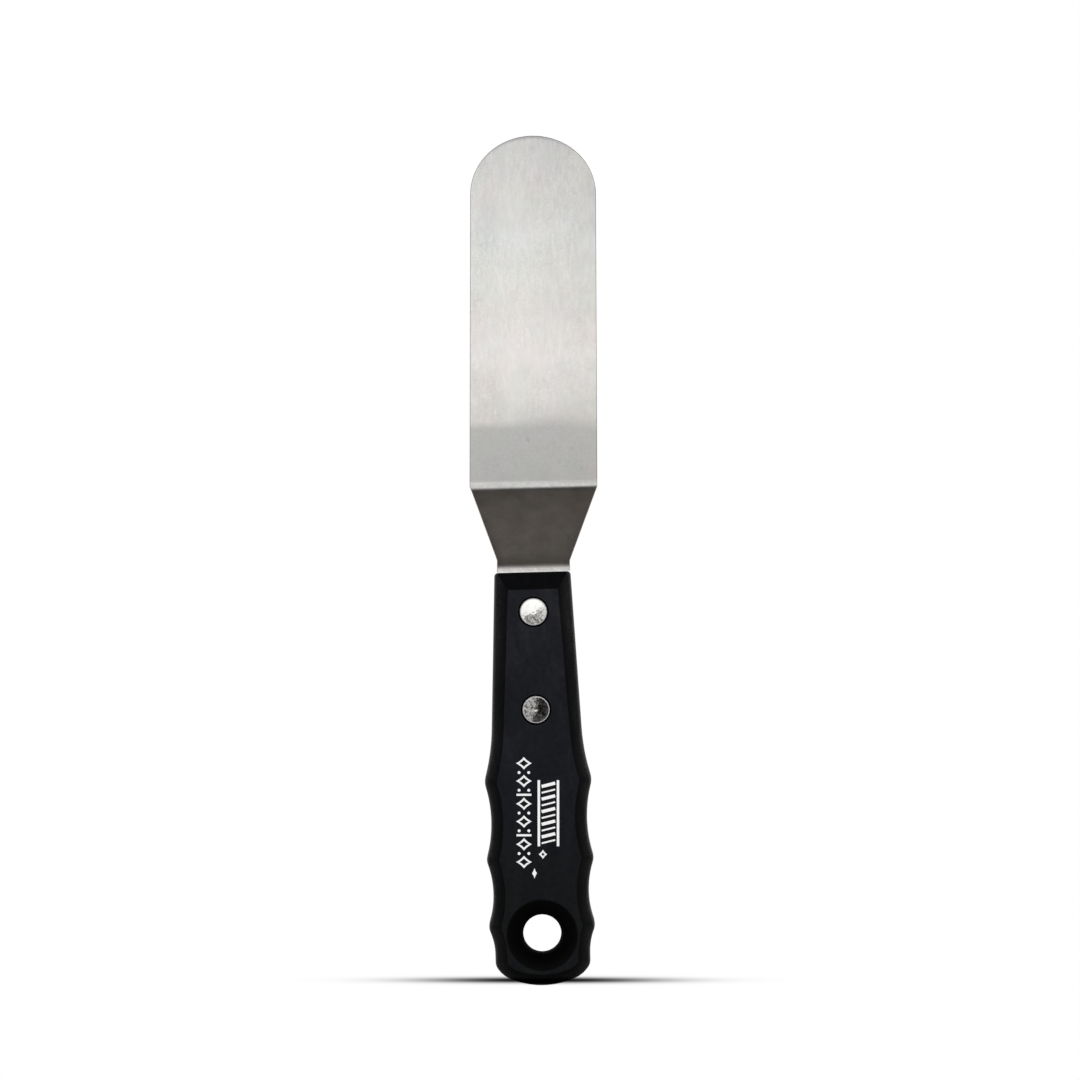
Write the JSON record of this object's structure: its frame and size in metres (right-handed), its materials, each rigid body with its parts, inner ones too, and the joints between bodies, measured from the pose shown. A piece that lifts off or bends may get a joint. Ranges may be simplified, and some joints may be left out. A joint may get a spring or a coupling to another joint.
{
  "type": "palette knife",
  "caption": "Palette knife with a round-ended flexible steel blade, a cranked neck and a flat black handle with finger scallops and a flared hang hole.",
  "frame": {"origin": "centre of the hang hole, midway through the handle's thickness, on the parting plane of the two scales", "axes": "+Z along the knife from the butt to the blade's tip; +X to the right, seen from the printed side; +Y away from the printed face, so the blade stands off towards +Y"},
  "size_m": [0.034, 0.0203, 0.2135],
  "materials": {
    "blade_steel": "lengthwise ground above the heel, mill finish on heel and neck",
    "handle_plastic": "satin moulded black",
    "rivet_plating": "bright nickel plate, lightly worn"
  },
  "bodies": {
    "root": {"blade": "blade_steel", "handle_front_scale": "handle_plastic", "handle_rear_scale": "handle_plastic", "upper_rivet_barrel": "rivet_plating", "upper_rivet_post": "rivet_plating", "lower_rivet_barrel": "rivet_plating", "lower_rivet_post": "rivet_plating"}
  },
  "joints": []
}
